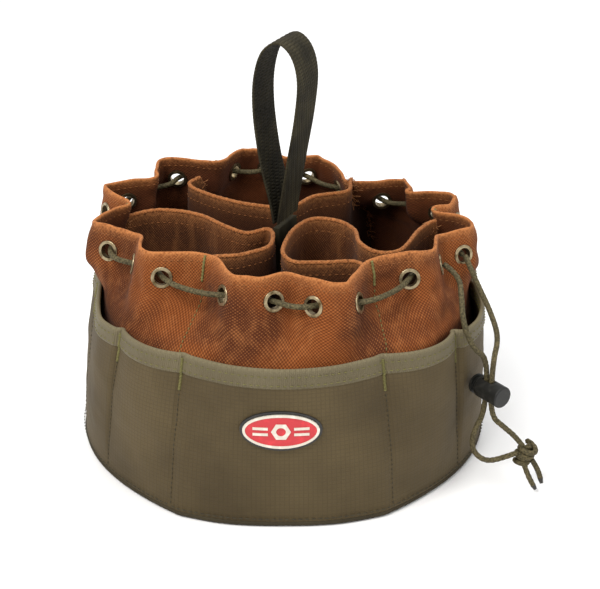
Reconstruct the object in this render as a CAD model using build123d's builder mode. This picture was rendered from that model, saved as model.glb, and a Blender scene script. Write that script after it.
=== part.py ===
"""Drawstring tool organiser: a round canvas bag with six inner compartments, a skirt of
outer pockets, a laced drawcord with a barrel lock, and a webbing carry loop.

Frame: millimetres, +Z up, origin at the centre of the base on its resting face.
The front, which carries the badge, faces -Y. Angles are measured from the front,
positive towards +X.
"""
import os
from math import cos, pi, radians, sin, tan

from build123d import *

os.makedirs("parts", exist_ok=True)

# ---------------------------------------------------------------- driving dimensions
BASE_R = 124.0            # mid-line radius of the canvas wall where it meets the base
CANVAS = 2.0              # two plies of heavy canvas
RIPSTOP = 1.4             # pocket skirt cloth with its hem
SHEET_GAP = 0.3           # room left between neighbouring layers

BASE_PLY = 1.6            # each cloth layer of the base
BOARD = 2.4               # stiffener between the two base layers
BINDING_H = 2.2           # bound seam allowance that the bag stands on

RIM_Z = 145.0             # top edge of the canvas wall
SKIRT_TOP_Z = 104.0       # top edge of the pocket skirt
TAPE_H = 10.5             # binding tape round the top of the skirt
PETAL_Z = 137.0           # top edge of the inner compartment walls

EYELET_BORE_R = 4.35       # clear hole of an eyelet
EYELET_TUBE = 0.5         # wall of the eyelet barrel
EYELET_RIM_R = 6.2        # outside of its rolled flange
EYELET_FLANGE = 1.0       # height of the flange above the cloth
EYELET_TURN = 38.0        # of an eyelet in the waved cloth, from straight outwards
EYELET_LEAN = 12.0        # the wall leans inwards here, so the eyelets face slightly up

CORD_R = 1.65             # braided drawcord

WEB_W = 25.0              # carry loop webbing
WEB_T = 1.6
LOOP_TURN = -27.0         # the loop stands turned about the vertical axis
LOOP_ROOT = Vector(1.5, 0.0, PETAL_Z + 1.5)

LOCK_R = 6.5              # cord lock barrel
LOCK_CENTRE = Vector(119.8, -84.0, 66.0)
LOCK_AXIS = Vector(0.6, -0.8, 0.0)      # push direction of the plunger
CORD_PITCH = 4.2          # distance between the two cords inside the lock

# One row for each eyelet, going round from the front left:
# angle, radius, height, and how far the cloth swells out before the next eyelet.
# The cord runs inside the bag where the cloth swells and outside where it sinks.
EYELETS = [
    (-18.5, 99, 132, 4), (-2.5, 101, 132, -6), (10, 107, 131, 6), (23, 108, 130, -10),
    (46, 101, 131, 5), (61, 104, 130, -6), (73.5, 111, 128, 6), (87, 110, 127, -14),
    (101, 109, 126, 5), (112.5, 106, 124, -11), (125.5, 101, 122, 6), (137, 93, 121, -12),
    (157, 95, 121, 5), (171.5, 101, 125, -6), (186.5, 104, 128, 5), (199, 104, 129, -14),
    (220.5, 107, 131, 6), (232.5, 105, 131, -10), (246.5, 108, 131, 7), (258.5, 111, 132, -12),
    (274.5, 108, 131, 8), (287.5, 107, 131, -5), (302, 100, 132, 5), (316, 98, 132, -11),
]
EXIT_A = 5                # the two cord ends leave the bag at these eyelets
EXIT_B = 6
PANEL_STEPS = (-19.5, -6.5, 6.5, 19.5)  # eyelets of one 60 degree panel, at the base
# Names of the wall panels, from the one with the first four eyelets.
WALL_PANELS = ("front", "front_right", "back_right", "back", "back_left", "front_left")

# Pocket skirt: base angle of each seam, and how far the mouth before it stands open.
SKIRT_SEAMS = [(-30, 5), (30, 5), (57, 6), (85, 6), (112, 3), (139, 3), (166, 3),
               (194, 3), (221, 3), (248, 3), (275, 4), (303, 6)]
# The skirt is made up of four lengths of three pockets: the seam that each starts at.
SKIRT_LENGTHS = {"left": 8, "front": 11, "right": 2, "back": 5}

# Plan of the three inner walls. Each runs from one wall seam to the middle and back
# to the next seam; its two ends carry on into the wall.
PETALS = {
    "petal_front_left": [(-130, 2), (-98, 6), (-82, 14), (-66, 13), (-50, 5), (-36, -10),
                         (-22, -19), (-9, -14), (-5, -24), (-9, -40), (-24, -51),
                         (-43, -55), (-52, -78), (-66, -112)],
    "petal_front_right": [(66, -112), (51, -77), (43, -61), (24, -60), (7, -61), (1, -48),
                          (3, -26), (10, -8), (20, 1), (34, -3), (43, -15), (46, -33),
                          (56, -47), (70, -43), (84, -12), (96, 0), (130, 3)],
    "petal_back": [(66, 112), (45, 70), (40, 44), (20, 36), (10, 25), (2, 15), (-7, 20),
                   (-20, 25), (-36, 32), (-51, 44), (-60, 60), (-50, 79), (-66, 112)],
}

# Free ends of the drawcord, from the bag to the knot.
KNOT = Vector(143.5, -84.0, 22.5)
KNOT_R = 6.0
KNOT_H = 15.0
END_A = [(102.5, -57, 127), (103, -70, 119), (103, -84, 109.5), (108.5, -91, 97)]
END_A_LOWER = [(112, -88, 41), (110.5, -92.5, 31), (118, -94.5, 24), (128, -92, 24),
               (138.5, -86.5, 25)]
END_B = [(114, -46.5, 117), (121, -62, 106), (125, -76, 96)]
END_B_LOWER = [(130, -86, 42), (138, -85, 34), (142.5, -84.3, 27)]
LOCK_RUN = (86.0, 50.0)   # the cords are straight and parallel between these heights
TAILS = [[(143, -86.5, 17), (145, -89, 11), (148.5, -90.5, 5)],
         [(147.5, -84.5, 19), (151.5, -85.5, 13.5), (153, -88, 8)]]


# ------------------------------------------------------------------------- geometry
def polar(angle, radius, height=0.0):
    """Point at an angle from the front."""
    a = radians(angle)
    return Vector(radius * sin(a), -radius * cos(a), height)


def between(p, q, share):
    return p + (q - p) * share


def ring_point(i):
    """Centre of eyelet i in the mid-layer of the wall."""
    angle, radius, height, _ = EYELETS[i % len(EYELETS)]
    return polar(angle, radius, height)


def gap_point(i):
    """Cloth halfway from eyelet i to the next, swollen out or sunk in."""
    a, b = ring_point(i), ring_point(i + 1)
    middle = between(a, b, 0.5)
    swell = EYELETS[i % len(EYELETS)][3]
    return middle + Vector(middle.X, middle.Y).normalized() * swell


def eyelet_normal(i):
    """The way an eyelet faces: outwards, turned towards the gap that the cord crosses outside."""
    along = ring_point(i + 1) - ring_point(i - 1)
    turn = EYELET_TURN if i % 2 else -EYELET_TURN
    level = Vector(along.Y, -along.X).normalized().rotate(Axis.Z, turn)
    return level * cos(radians(EYELET_LEAN)) + Vector(0, 0, sin(radians(EYELET_LEAN)))


def flat_ring(share, offset):
    """Closed outline of the wall, from a circle at share 0 to the laced rim at share 1."""
    points = []
    for i in range(len(EYELETS)):
        base_angle = 60 * (i // 4) + PANEL_STEPS[i % 4]
        next_angle = 60 * ((i + 1) // 4) + PANEL_STEPS[(i + 1) % 4]
        for target, angle in ((ring_point(i), base_angle),
                              (gap_point(i), (base_angle + next_angle) / 2)):
            point = between(polar(angle, BASE_R), Vector(target.X, target.Y), share)
            points.append(point + point.normalized() * offset)
    return points


# Height and gathering share of each section of the wall.
WALL_SECTIONS = [(0.0, 0.0), (60.0, 0.08), (90.0, 0.3), (116.0, 0.95), (RIM_Z, 1.0)]


def smooth_face(points, height):
    """Face at a height whose edge is one smooth closed curve through the points."""
    with BuildSketch(Plane.XY.offset(height)) as section:
        with BuildLine():
            Spline(*[(p.X, p.Y) for p in points], periodic=True)
        make_face()
    return section.sketch.face()


def wall_faces(offset, bottom, top=RIM_Z):
    """Sections of the wall's surface moved out by offset."""
    return [smooth_face(flat_ring(share, offset), min(max(height, bottom), top))
            for height, share in WALL_SECTIONS]


def skirt_outline(share, offset):
    """Closed outline of the pocket skirt; share 0 at the base, 1 at the mouth."""
    points = []
    for k, (seam, _) in enumerate(SKIRT_SEAMS):
        following, opening = SKIRT_SEAMS[(k + 1) % len(SKIRT_SEAMS)]
        following += 360 if following < seam else 0
        seam_r = BASE_R + CANVAS / 2 + SHEET_GAP - 1.5 * share
        mid_r = seam_r + (1.0 + opening) * share
        for angle, radius in ((seam, seam_r), ((seam + following) / 2, mid_r)):
            points.append(polar(angle * (1 - lean(angle) * share), radius + offset))
    return points


def lean(angle):
    """The seams of the front pockets lean in towards the badge."""
    turned = angle if angle <= 180 else angle - 360
    return 0.12 * cos(radians(turned / 2)) ** 2 * turned / angle if angle else 0.0


def skirt_faces(offset, bottom, top):
    """Sections of the pocket skirt's surface between two heights."""
    return [smooth_face(skirt_outline((height / SKIRT_TOP_Z) ** 1.5, offset), height)
            for height in (bottom, (bottom + top) / 2, top)]


def seam_angle(i):
    """Angle of the wall seam between eyelet i and the next."""
    count = len(EYELETS)
    return (EYELETS[i % count][0] + EYELETS[(i + 1) % count][0] % 360) / 2


def sector(start, end):
    """Upright wedge from the bag's axis, between two angles, taller and wider than the bag."""
    turn = (end - start) % 360
    with BuildPart(mode=Mode.PRIVATE) as wedge:
        with BuildSketch():
            with BuildLine():
                Polyline((0, 0), *[tuple(polar(start + turn * share, 2 * BASE_R))[:2]
                                   for share in (0, 0.5, 1)], close=True)
            make_face()
        extrude(amount=2 * RIM_Z)
    return wedge.part


def arc_radii(points):
    """Largest arc at each corner of a route that its two runs allow."""
    radii = []
    for before, here, after in zip(points, points[1:], points[2:]):
        turn = radians((here - before).get_angle(after - here))
        shorter = min((here - before).length, (after - here).length)
        radii.append(0.45 * shorter / tan(turn / 2))
    return radii


def lay_cord(points):
    """Round tube along straight runs joined by tangent arcs, inside the open part block."""
    points = [Vector(*p) for p in points]
    radii = arc_radii(points)
    print("cord radii", *[f"{radius:.0f}" for radius in radii], f"smallest {min(radii):.1f} mm")
    with BuildLine() as route:
        FilletPolyline(*points, radius=radii)
    with BuildSketch(Plane(origin=points[0], z_dir=points[1] - points[0])) as section:
        Circle(CORD_R)
    sweep(sections=section.sketch, path=route.line)
    print(f"  length {sum(edge.length for edge in route.edges()):.0f} mm")


def save(block, name):
    block.part.label = name
    export_step(block.part, f"parts/{name}.step")


# ----------------------------------------------------------------------------- base
with BuildPart() as base_outer_panel:
    with BuildSketch():
        Circle(BASE_R - CANVAS)
    extrude(amount=BASE_PLY)
save(base_outer_panel, "base_outer_panel")

with BuildPart() as base_board:
    with BuildSketch(Plane.XY.offset(BASE_PLY)):
        Circle(BASE_R - 4 * CANVAS)
    extrude(amount=BOARD)
    fillet(base_board.edges().filter_by(GeomType.CIRCLE), radius=0.5)
save(base_board, "base_board")

with BuildPart() as base_lining:
    with BuildSketch(Plane.XY.offset(BASE_PLY + BOARD)):
        Circle(BASE_R - 2 * CANVAS)
    extrude(amount=BASE_PLY)
save(base_lining, "base_lining")

with BuildPart() as base_seam_binding:
    with BuildSketch():
        Circle(BASE_R + CANVAS / 2 + SHEET_GAP + RIPSTOP)
        Circle(BASE_R - CANVAS, mode=Mode.SUBTRACT)
    extrude(amount=BINDING_H)
    outer_edges = base_seam_binding.edges().group_by(SortBy.LENGTH)[-1]
    fillet(outer_edges, radius=0.8)
save(base_seam_binding, "base_seam_binding")

# ------------------------------------------------------------------------ outer wall
WALL_FOOT = BINDING_H
with BuildPart() as wall_inside:
    loft(sections=wall_faces(-CANVAS / 2, WALL_FOOT), ruled=True)

with BuildPart() as eyelet_seats:
    for i in range(len(EYELETS)):
        seat = Plane(origin=ring_point(i), z_dir=eyelet_normal(i))
        for side in (1, -1):
            with BuildSketch(seat.offset(side * CANVAS / 2)):
                Circle(EYELET_RIM_R + SHEET_GAP)
            extrude(amount=side * 3 * CANVAS)
        with BuildSketch(seat.offset(-2 * CANVAS)):
            Circle(EYELET_BORE_R + EYELET_TUBE + SHEET_GAP / 2)
        extrude(amount=4 * CANVAS)

with BuildPart() as whole_wall:
    loft(sections=wall_faces(CANVAS / 2, WALL_FOOT), ruled=True)
    add(wall_inside.part, mode=Mode.SUBTRACT)
    add(eyelet_seats.part, mode=Mode.SUBTRACT)

for k, panel_name in enumerate(WALL_PANELS):
    first = 4 * k
    with BuildPart() as wall_panel:
        add(whole_wall.part)
        add(sector(seam_angle(first - 1), seam_angle(first + 3)), mode=Mode.INTERSECT)
    save(wall_panel, f"outer_wall_{panel_name}")

# --------------------------------------------------------------------- pocket skirt
TAPE_Z = SKIRT_TOP_Z - TAPE_H
with BuildPart() as skirt_room:
    loft(sections=skirt_faces(0.0, WALL_FOOT, TAPE_Z))

with BuildPart() as whole_skirt:
    loft(sections=skirt_faces(RIPSTOP, WALL_FOOT, TAPE_Z))
    add(skirt_room.part, mode=Mode.SUBTRACT)

for length_name, first in SKIRT_LENGTHS.items():
    ends = [SKIRT_SEAMS[k % len(SKIRT_SEAMS)][0] for k in (first, first + 3)]
    with BuildPart() as skirt_length:
        add(whole_skirt.part)
        add(sector(*[angle * (1 - lean(angle) / 2) for angle in ends]), mode=Mode.INTERSECT)
    save(skirt_length, f"pocket_skirt_{length_name}")

with BuildPart() as tape_room:
    loft(sections=skirt_faces(0.0, TAPE_Z, SKIRT_TOP_Z))

with BuildPart() as pocket_binding_tape:
    loft(sections=skirt_faces(RIPSTOP, TAPE_Z, SKIRT_TOP_Z))
    add(tape_room.part, mode=Mode.SUBTRACT)
save(pocket_binding_tape, "pocket_binding_tape")

# ----------------------------------------------------------------------- inner walls
PETAL_FOOT = BASE_PLY + BOARD + BASE_PLY
with BuildPart() as wall_cavity:
    loft(sections=wall_faces(-CANVAS / 2 - SHEET_GAP, PETAL_FOOT, PETAL_Z), ruled=True)

for petal_name, plan in PETALS.items():
    corners = [Vector(*point) for point in plan]
    with BuildPart() as petal:
        with BuildSketch(Plane.XY.offset(PETAL_FOOT)):
            with BuildLine():
                FilletPolyline(*corners, radius=arc_radii(corners))
            trace(line_width=CANVAS)
        extrude(amount=PETAL_Z - PETAL_FOOT)
        add(wall_cavity.part, mode=Mode.INTERSECT)
    save(petal, petal_name)

# ------------------------------------------------------------------------ carry loop
# Plan axes of the loop: its two strands part along X, its webbing is wide along Y.
LOOP_PLANE = Plane(origin=LOOP_ROOT, x_dir=(cos(radians(LOOP_TURN)), sin(radians(LOOP_TURN)), 0),
                   z_dir=(sin(radians(LOOP_TURN)), -cos(radians(LOOP_TURN)), 0))
LOOP_POINTS = [(-1.4, 0.5), (-4, 14), (-10, 38), (-14, 67), (-13.5, 89), (-8, 106), (2, 112.5),
               (11, 106), (15, 91), (13, 68), (8, 40), (3.5, 14), (1.4, 0.5)]
with BuildPart() as carry_loop:
    with BuildSketch(LOOP_PLANE):
        with BuildLine() as loop_line:
            Spline(*LOOP_POINTS)
        trace(line_width=WEB_T)
    extrude(amount=WEB_W / 2, both=True)
save(carry_loop, "carry_loop")

with BuildPart() as carry_loop_anchor:
    with BuildSketch(LOOP_PLANE):
        with Locations((0, -19)):
            Rectangle(2 * WEB_T + 0.8, 32)
    extrude(amount=WEB_W / 2 - 1, both=True)
save(carry_loop_anchor, "carry_loop_anchor")

# --------------------------------------------------------------------------- eyelets
with BuildPart() as eyelet_barrels:
    for i in range(len(EYELETS)):
        seat = Plane(origin=ring_point(i), z_dir=eyelet_normal(i))
        with BuildSketch(seat.offset(-CANVAS / 2)):
            Circle(EYELET_BORE_R + EYELET_TUBE)
            Circle(EYELET_BORE_R, mode=Mode.SUBTRACT)
        extrude(amount=CANVAS)
        with BuildSketch(seat.offset(CANVAS / 2)):
            Circle(EYELET_RIM_R)
            Circle(EYELET_BORE_R, mode=Mode.SUBTRACT)
        extrude(amount=EYELET_FLANGE)
    rolled = eyelet_barrels.edges().filter_by(lambda e: abs(e.length - 2 * pi * EYELET_RIM_R) < 0.1)
    fillet(rolled, radius=0.45 * EYELET_FLANGE)
save(eyelet_barrels, "eyelet_barrels")

with BuildPart() as eyelet_washers:
    for i in range(len(EYELETS)):
        seat = Plane(origin=ring_point(i), z_dir=-eyelet_normal(i))
        with BuildSketch(seat.offset(CANVAS / 2)):
            Circle(EYELET_RIM_R)
            Circle(EYELET_BORE_R, mode=Mode.SUBTRACT)
        extrude(amount=EYELET_FLANGE)
save(eyelet_washers, "eyelet_washers")

# -------------------------------------------------------------------------- drawcord
CORD_STANDOFF = 5.0       # of the cord from the chord between two eyelets


def lace_points():
    """Cord route from one exit eyelet the long way round to the other."""
    count = len(EYELETS)
    order = [(EXIT_A - step) % count for step in range(count)]
    points = [ring_point(order[0])]
    for step, here in enumerate(order[:-1]):
        a, b = ring_point(here), ring_point(order[step + 1])
        inside = step % 2 == 0
        out = Vector(a.X + b.X, a.Y + b.Y).normalized()
        stand = -CORD_STANDOFF if inside else CORD_STANDOFF
        shares = (0.28, 0.72) if (a - b).length > 32 else (0.5,)
        points += [between(a, b, share) + out * stand for share in shares]
        points.append(b)
    return points


with BuildPart() as drawcord_lacing:
    lay_cord(lace_points())
save(drawcord_lacing, "drawcord_lacing")

EXIT_REACH = CANVAS / 2 + EYELET_FLANGE + 1.0   # how far out of its eyelet a cord end turns
exit_a = ring_point(EXIT_A) + eyelet_normal(EXIT_A) * EXIT_REACH
exit_b = ring_point(EXIT_B) + eyelet_normal(EXIT_B) * EXIT_REACH
lock_offset = LOCK_AXIS * (CORD_PITCH / 2)


def free_end(start, upper, side, lower):
    """Route of one cord end: out of its eyelet, through the lock, to the knot."""
    at_lock = LOCK_CENTRE + lock_offset * side
    run = [(at_lock.X, at_lock.Y, height) for height in LOCK_RUN]
    return [start] + upper + run + lower


with BuildPart() as knot_body:
    with BuildSketch(Plane.XZ):
        Ellipse(KNOT_R, KNOT_H / 2)
        with Locations((-KNOT_R, 0)):
            Rectangle(2 * KNOT_R, 2 * KNOT_H, mode=Mode.SUBTRACT)
    revolve(axis=Axis.Z)

with BuildPart() as drawcord_knot:
    with Locations(Location(KNOT, (0, 25, 0))):
        add(knot_body.part)
save(drawcord_knot, "drawcord_knot")

for end_name, route in (
        ("cord_end_front", free_end(exit_a, END_A, -1, END_A_LOWER)),
        ("cord_end_back", free_end(exit_b, END_B, 1, END_B_LOWER)),
        ("cord_tail_long", TAILS[0]),
        ("cord_tail_short", TAILS[1])):
    with BuildPart() as cord_end:
        lay_cord(route)
        add(drawcord_knot.part, mode=Mode.SUBTRACT)
    save(cord_end, end_name)

TIP_L = 3.0
with BuildPart() as cord_tips:
    for tail in TAILS:
        end, before = Vector(*tail[-1]), Vector(*tail[-2])
        with BuildSketch(Plane(origin=end, z_dir=end - before)):
            Circle(CORD_R)
        extrude(amount=TIP_L, taper=12)
save(cord_tips, "cord_tips")

# ------------------------------------------------------------------------- cord lock
# Lengths along the push direction, measured from the middle of the cord pair.
BARREL_OPEN = -6.5
BARREL_END = 12.0
BARREL_WALL = 1.5
LOCK_TRAVEL = 2.2
STEM_R = LOCK_R - BARREL_WALL - 0.3
CORD_SLOT = CORD_PITCH / 2 + CORD_R + 0.3     # half length of the slot that takes two cords
SLOT_W = 2 * CORD_R + 0.6
HEAD_L = 2.0
lock_plane = Plane(origin=LOCK_CENTRE, x_dir=(0, 0, 1), z_dir=LOCK_AXIS)


def cord_slot(start, end):
    """Slot through the lock, along the cords, between two lengths on its axis."""
    with BuildPart(mode=Mode.PRIVATE) as slot:
        with BuildSketch(lock_plane.offset(start)):
            Rectangle(4 * LOCK_R, SLOT_W)
        extrude(amount=end - start)
    return slot.part


barrel_slot = cord_slot(-CORD_SLOT, CORD_SLOT)
with BuildPart() as lock_barrel:
    with BuildSketch(lock_plane.offset(BARREL_OPEN)):
        Circle(LOCK_R)
    extrude(amount=BARREL_END - BARREL_OPEN)
    barrel_rims = lock_barrel.edges().filter_by(GeomType.CIRCLE)
    fillet(barrel_rims, radius=1.0)
    with BuildSketch(lock_plane.offset(BARREL_OPEN - 1)):
        Circle(LOCK_R - BARREL_WALL)
    extrude(amount=BARREL_END - BARREL_WALL - BARREL_OPEN + 1, mode=Mode.SUBTRACT)
    add(barrel_slot, mode=Mode.SUBTRACT)
save(lock_barrel, "lock_barrel")

STEM_END = CORD_SLOT + 1.4
HEAD_BASE = BARREL_OPEN - LOCK_TRAVEL - 0.4
plunger_slot = cord_slot(-CORD_SLOT - LOCK_TRAVEL, CORD_SLOT)
with BuildPart() as lock_plunger:
    with BuildSketch(lock_plane.offset(HEAD_BASE)):
        Circle(STEM_R)
    extrude(amount=STEM_END - HEAD_BASE)
    add(plunger_slot, mode=Mode.SUBTRACT)
    with BuildSketch(lock_plane.offset(HEAD_BASE)):
        Circle(LOCK_R - 0.4)
    extrude(amount=-HEAD_L)
    head_rim = lock_plunger.faces().sort_by(Axis((0, 0, 0), tuple(LOCK_AXIS)))[0].edges()
    fillet(head_rim, radius=1.0)
save(lock_plunger, "lock_plunger")

# The spring is drawn at the length it has with the plunger pressed home.
SPRING_L = BARREL_END - BARREL_WALL - STEM_END - LOCK_TRAVEL - 0.2
SPRING_R = 3.2
with BuildPart() as lock_spring:
    with BuildSketch(lock_plane.offset(BARREL_END - BARREL_WALL)):
        Circle(SPRING_R)
        Circle(SPRING_R - 1.0, mode=Mode.SUBTRACT)
    extrude(amount=-SPRING_L)
save(lock_spring, "lock_spring")

# ----------------------------------------------------------------------------- badge
BADGE_Z = 67.0
BADGE_W, BADGE_H = 46.0, 25.0
BADGE_FACE = 130.7        # distance of the backing from the bag's axis
FIELD_W, FIELD_H = 40.0, 18.5


def badge_layer(outline, start, thickness):
    """Layer of the badge with an outline, curved round the bag's axis, in the open block."""
    with BuildPart(mode=Mode.PRIVATE) as shell:
        with BuildSketch(Plane.XY.offset(BADGE_Z - BADGE_H)):
            Circle(start + thickness)
            Circle(start, mode=Mode.SUBTRACT)
        extrude(amount=2 * BADGE_H)
    extrude(outline, amount=2 * BADGE_FACE)
    add(shell.part, mode=Mode.INTERSECT)


BACKING_T = 1.3
BORDER_T = 0.9
FIELD_T = 0.5
BADGE_PLANE = Plane(origin=(0, 0, BADGE_Z), x_dir=(1, 0, 0), z_dir=(0, -1, 0))
with BuildSketch(BADGE_PLANE) as backing_outline:
    Ellipse(BADGE_W / 2, BADGE_H / 2)
with BuildSketch(BADGE_PLANE) as border_outline:
    Ellipse(FIELD_W / 2 + 1.5, FIELD_H / 2 + 1.5)
    Ellipse(FIELD_W / 2, FIELD_H / 2, mode=Mode.SUBTRACT)
with BuildSketch(BADGE_PLANE) as field_outline:
    Ellipse(FIELD_W / 2, FIELD_H / 2)
with BuildSketch(BADGE_PLANE) as emblem_outline:
    RegularPolygon(radius=5.5, side_count=6)
    Circle(2.7, mode=Mode.SUBTRACT)
    with GridLocations(23, 0, 2, 1):
        with GridLocations(0, 3.6, 1, 2):
            Rectangle(8.5, 1.5)

for layer_name, outline, start, thickness in (
        ("badge_backing", backing_outline, BADGE_FACE, BACKING_T),
        ("badge_border", border_outline, BADGE_FACE + BACKING_T, BORDER_T),
        ("badge_field", field_outline, BADGE_FACE + BACKING_T, FIELD_T),
        ("badge_emblem", emblem_outline, BADGE_FACE + BACKING_T + FIELD_T, FIELD_T)):
    with BuildPart() as layer:
        badge_layer(outline.sketch, start, thickness)
    save(layer, layer_name)

print("cord ends leave the bag at", exit_a, exit_b)
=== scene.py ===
"""Looks of the drawstring tool organiser: cloth, webbing, cords and stitching around its frame.

Lengths in this script are millimetres, turned to metres as each mesh is made. Angles are
measured from the front (-Y), positive towards +X.
"""
from math import cos, pi, radians, sin

import bmesh
import bpy
import numpy as np
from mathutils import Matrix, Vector, noise


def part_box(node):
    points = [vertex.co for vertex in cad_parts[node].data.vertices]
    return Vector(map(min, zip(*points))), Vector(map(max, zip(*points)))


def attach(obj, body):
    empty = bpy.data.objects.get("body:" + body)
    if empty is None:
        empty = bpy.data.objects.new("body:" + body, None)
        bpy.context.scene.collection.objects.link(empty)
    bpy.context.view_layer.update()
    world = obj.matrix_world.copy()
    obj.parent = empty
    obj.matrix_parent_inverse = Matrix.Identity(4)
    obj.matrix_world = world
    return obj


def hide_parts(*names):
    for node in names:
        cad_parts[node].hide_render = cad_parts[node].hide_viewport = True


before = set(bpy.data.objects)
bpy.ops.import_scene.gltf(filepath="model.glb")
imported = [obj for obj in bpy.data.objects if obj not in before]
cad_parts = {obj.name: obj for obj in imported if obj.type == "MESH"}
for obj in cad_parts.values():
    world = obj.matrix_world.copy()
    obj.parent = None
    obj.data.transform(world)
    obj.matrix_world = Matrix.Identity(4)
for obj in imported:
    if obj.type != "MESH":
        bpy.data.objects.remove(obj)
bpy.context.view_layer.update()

MM = 0.001

# ------------------------------------------------------------------ driving dimensions
BASE_R = 124.0
WALL_FOOT = 2.4
RIM_ABOVE_EYELET = 14.0
CANVAS = 2.0
EYELET_HOLE = 5.2         # hole punched in the cloth for it
EYELET_TURN = 38.0
EYELET_LEAN = 12.0

SKIRT_TOP = 104.0
TAPE_H = 10.5
RIPSTOP = 1.2
TAPE_T = 0.7
TAPE_FOLD = 0.6           # the fold stands this far above the skirt's mouth
PETAL_TOP = 137.0
PETAL_FOOT = 4.9

CORD_R = 1.65
CORD_STANDOFF = 5.0
EXIT_A, EXIT_B = 5, 6
EXIT_REACH = 3.0

WEB_W, WEB_T = 25.0, 1.6
LOOP_TURN = -27.0
LOOP_ROOT = (1.5, 0.0, 138.5)

# Eyelets from the front left: angle, radius, height, swell of the cloth before the next one.
EYELETS = [
    (-18.5, 99, 132, 4), (-2.5, 101, 132, -6), (10, 107, 131, 6), (23, 108, 130, -10),
    (46, 101, 131, 5), (61, 104, 130, -6), (73.5, 111, 128, 6), (87, 110, 127, -14),
    (101, 109, 126, 5), (112.5, 106, 124, -11), (125.5, 101, 122, 6), (137, 93, 121, -12),
    (157, 95, 121, 5), (171.5, 101, 125, -6), (186.5, 104, 128, 5), (199, 104, 129, -14),
    (220.5, 107, 131, 6), (232.5, 105, 131, -10), (246.5, 108, 131, 7), (258.5, 111, 132, -12),
    (274.5, 108, 131, 8), (287.5, 107, 131, -5), (302, 100, 132, 5), (316, 98, 132, -11),
]
PANEL_STEPS = (-19.5, -6.5, 6.5, 19.5)
WALL_SEAMS = (3, 7, 11, 15, 19, 23)     # the wall is sewn to the inner walls in these gaps

# Pocket seams: angle at the foot and at the mouth, radius there, how far the mouth before
# the next seam stands out, and where on its way there it stands out most.
SKIRT_SEAMS = [
    (-30, -25.5, 124.5, 6, 0.5), (30, 26, 126.5, 7, 0.55), (57, 49, 129, 8, 0.3),
    (85, 80, 116, 3, 0.5), (112, 111, 112, 3, 0.5), (139, 138, 111, 3, 0.5),
    (166, 165, 111, 3, 0.5), (194, 194, 111, 3, 0.5), (221, 221, 111, 3, 0.5),
    (248, 248, 112, 3, 0.5), (275, 280, 111.5, 6, 0.78), (303, 312.5, 122.5, 4.5, 0.5),
]
FOOT_CORNERS = (-24, 24)      # the base stands out a little where the front pocket ends

PETALS = {
    "petal_front_left": [(-130, 2), (-98, 6), (-82, 14), (-66, 13), (-50, 5), (-36, -10),
                         (-22, -19), (-9, -14), (-5, -24), (-9, -40), (-24, -51),
                         (-43, -55), (-52, -78), (-66, -112)],
    "petal_front_right": [(66, -112), (51, -77), (43, -61), (24, -60), (7, -61), (1, -48),
                          (3, -26), (10, -8), (20, 1), (34, -3), (43, -15), (46, -33),
                          (56, -47), (70, -43), (84, -12), (96, 0), (130, 3)],
    "petal_back": [(66, 112), (45, 70), (40, 44), (20, 36), (10, 25), (2, 15), (-7, 20),
                   (-20, 25), (-36, 32), (-51, 44), (-60, 60), (-50, 79), (-66, 112)],
}

FRAYED_END = ("petal_back", 0)        # the cut edge there has come most undone

LOOP_POINTS = [(-1.4, 0.5), (-4, 14), (-10, 38), (-14, 67), (-13.5, 89), (-8, 106), (2, 112.5),
               (11, 106), (15, 91), (13, 68), (8, 40), (3.5, 14), (1.4, 0.5)]

KNOT = (143.5, -84.0, 22.5)
LOCK_CENTRE = (119.8, -84.0, 66.0)
LOCK_AXIS = (0.6, -0.8, 0.0)
CORD_PITCH = 4.2
LOCK_RUN = (86.0, 50.0)
END_A = [(102.5, -57, 127), (103, -70, 119), (103, -84, 109.5), (108.5, -91, 97)]
END_A_LOWER = [(112, -88, 41), (110.5, -92.5, 31), (118, -94.5, 24), (128, -92, 24),
               (138.5, -86.5, 25)]
END_B = [(114, -46.5, 117), (121, -62, 106), (125, -76, 96)]
END_B_LOWER = [(130, -86, 42), (138, -85, 34), (142.5, -84.3, 27)]
TAILS = {"cord_tail_long": [(143, -86.5, 17), (145, -89, 11), (148.5, -90.5, 5)],
         "cord_tail_short": [(147.5, -84.5, 19), (151.5, -85.5, 13.5), (153, -88, 8)]}


# ---------------------------------------------------------------------------- geometry
def polar(angle, radius):
    a = np.radians(angle)
    return np.stack([radius * np.sin(a), -radius * np.cos(a)], axis=-1)


def smooth(low, high, x):
    """0 up to low, 1 from high, and an even curve between."""
    t = np.clip((x - low) / (high - low), 0, 1)
    return t * t * (3 - 2 * t)


def unit(v):
    return v / np.maximum(np.linalg.norm(v, axis=-1, keepdims=True), 1e-12)


def curve_weights(count, per_span, closed):
    """Matrix that turns control points into points on a Catmull-Rom curve through them."""
    spans = count if closed else count - 1
    steps = spans * per_span + (0 if closed else 1)
    m = np.zeros((steps, count))
    for row in range(steps):
        span, t = divmod(row, per_span)
        t /= per_span
        if span == spans:
            span, t = spans - 1, 1.0
        share = (-t / 2 + t * t - t ** 3 / 2, 1 - 2.5 * t * t + 1.5 * t ** 3,
                 t / 2 + 2 * t * t - 1.5 * t ** 3, -t * t / 2 + t ** 3 / 2)
        for k, w in enumerate(share):
            at = span + k - 1
            at = at % count if closed else min(max(at, 0), count - 1)
            m[row, at] += w
    return m


def distances(line):
    """How far along a polyline each of its points is."""
    return np.concatenate([[0], np.cumsum(np.linalg.norm(np.diff(line, axis=0), axis=1))])


def resample(line, step=None, count=None):
    """The polyline again, with evenly spaced points."""
    line = np.asarray(line, float)
    along = distances(line)
    count = count or max(2, int(round(along[-1] / step)) + 1)
    at = np.linspace(0, along[-1], count)
    return np.stack([np.interp(at, along, line[:, k]) for k in range(line.shape[1])], axis=1)


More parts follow.
